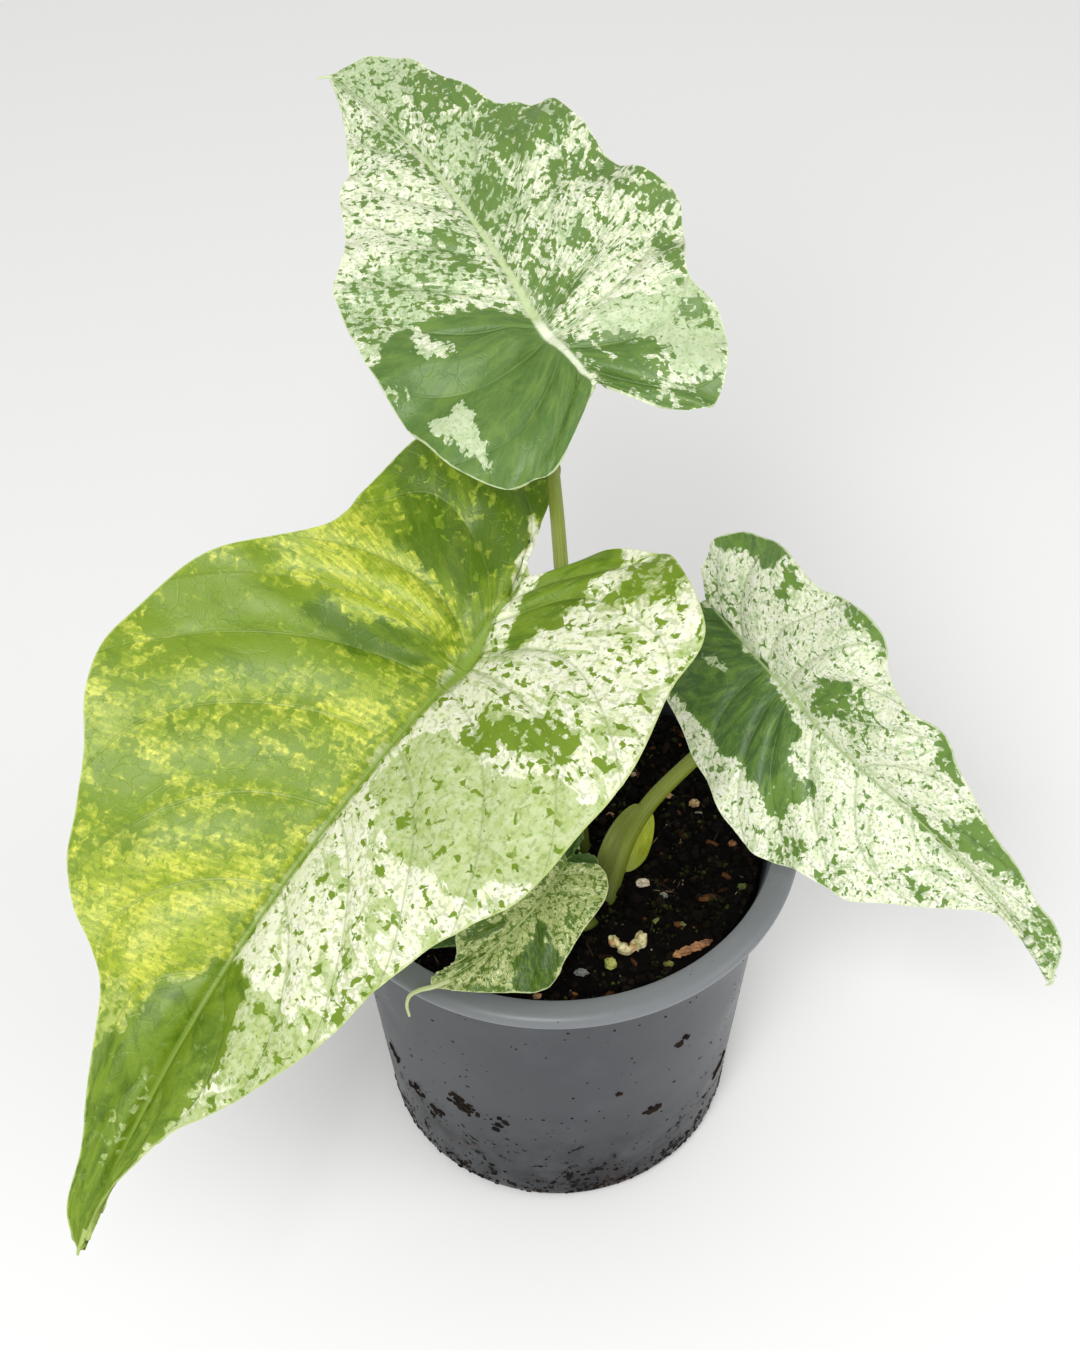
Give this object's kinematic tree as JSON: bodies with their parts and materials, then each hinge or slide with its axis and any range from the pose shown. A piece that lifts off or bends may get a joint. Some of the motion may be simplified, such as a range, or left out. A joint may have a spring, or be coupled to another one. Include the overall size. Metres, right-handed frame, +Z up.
{
  "type": "potted camouflage alocasia",
  "caption": "Young aroid with arrow-shaped speckled green and cream leaves on slim petioles, growing from soil in a round tapered nursery pot with a broad lip.",
  "frame": {"origin": "middle of the pot's flat underside, on the surface that the pot stands on", "axes": "+Z up along the pot's axis; +Y away from the side that the picture shows; +X to the right of that side"},
  "size_m": [0.2179, 0.1924, 0.27],
  "materials": {
    "pot_plastic": "satin moulded grey plastic with dried soil specks",
    "soil": "dark damp peat and bark mix",
    "stem_tissue": "fibrous brown stem and roots",
    "petiole_tissue": "smooth olive green, satin",
    "leaf_top": "satin leaf, cream and mint with green blocks",
    "leaf_large": "satin leaf, yellow green half and cream speckled half",
    "leaf_right": "satin leaf, cream with fine green speckle and a dark green sector",
    "leaf_front": "satin leaf, sage and cream speckle with a dark green wedge",
    "leaf_inner": "satin dark green leaf",
    "pumice": "rough porous pale stone",
    "mossy_grit": "rough stone with yellow green algae",
    "tan_grit": "rough tan stone",
    "bark": "split orange brown bark",
    "pale_bark": "pale curled bark sliver"
  },
  "bodies": {
    "root": {"pot": "pot_plastic", "soil": "soil", "stem": "stem_tissue", "petiole_top": "petiole_tissue", "blade_top": "leaf_top", "petiole_large": "petiole_tissue", "blade_large": "leaf_large", "petiole_right": "petiole_tissue", "blade_right": "leaf_right", "petiole_front": "petiole_tissue", "blade_front": "leaf_front", "petiole_inner": "petiole_tissue", "blade_inner": "leaf_inner", "pumice_white": "pumice", "pumice_grey": "pumice", "grit_mossy": "mossy_grit", "grit_tan": "tan_grit", "bark_chip": "bark", "bark_curl": "pale_bark"}
  },
  "joints": []
}
